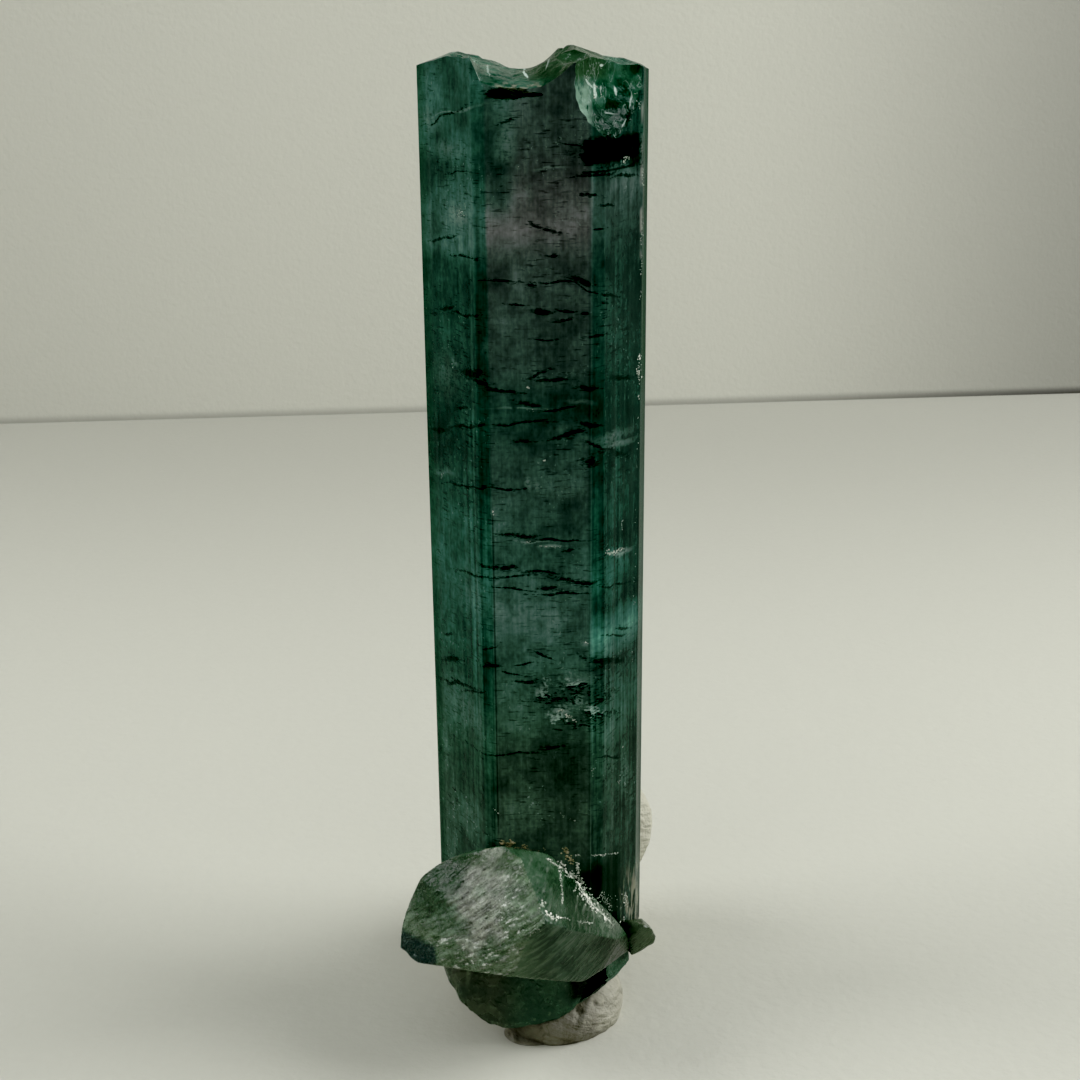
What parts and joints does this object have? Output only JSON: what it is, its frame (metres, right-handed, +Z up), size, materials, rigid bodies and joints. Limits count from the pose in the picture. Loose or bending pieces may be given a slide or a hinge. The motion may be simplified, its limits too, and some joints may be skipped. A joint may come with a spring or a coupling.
{
  "type": "tourmaline crystal specimen",
  "caption": "Upright green tourmaline prism with a broken top and a small side crystal at its foot, standing in a lump of mineral putty.",
  "frame": {"origin": "on the ground, under the middle of the specimen's bounding box", "axes": "+Z up along the prism, +X to the right and -Y to the front, the side that the side crystal points at"},
  "size_m": [0.014, 0.019, 0.052],
  "materials": {
    "tourmaline": "natural crystal faces",
    "putty": "matt, pressed by hand"
  },
  "bodies": {
    "root": {"tourmaline_crystal": "tourmaline", "putty": "putty"}
  },
  "joints": []
}
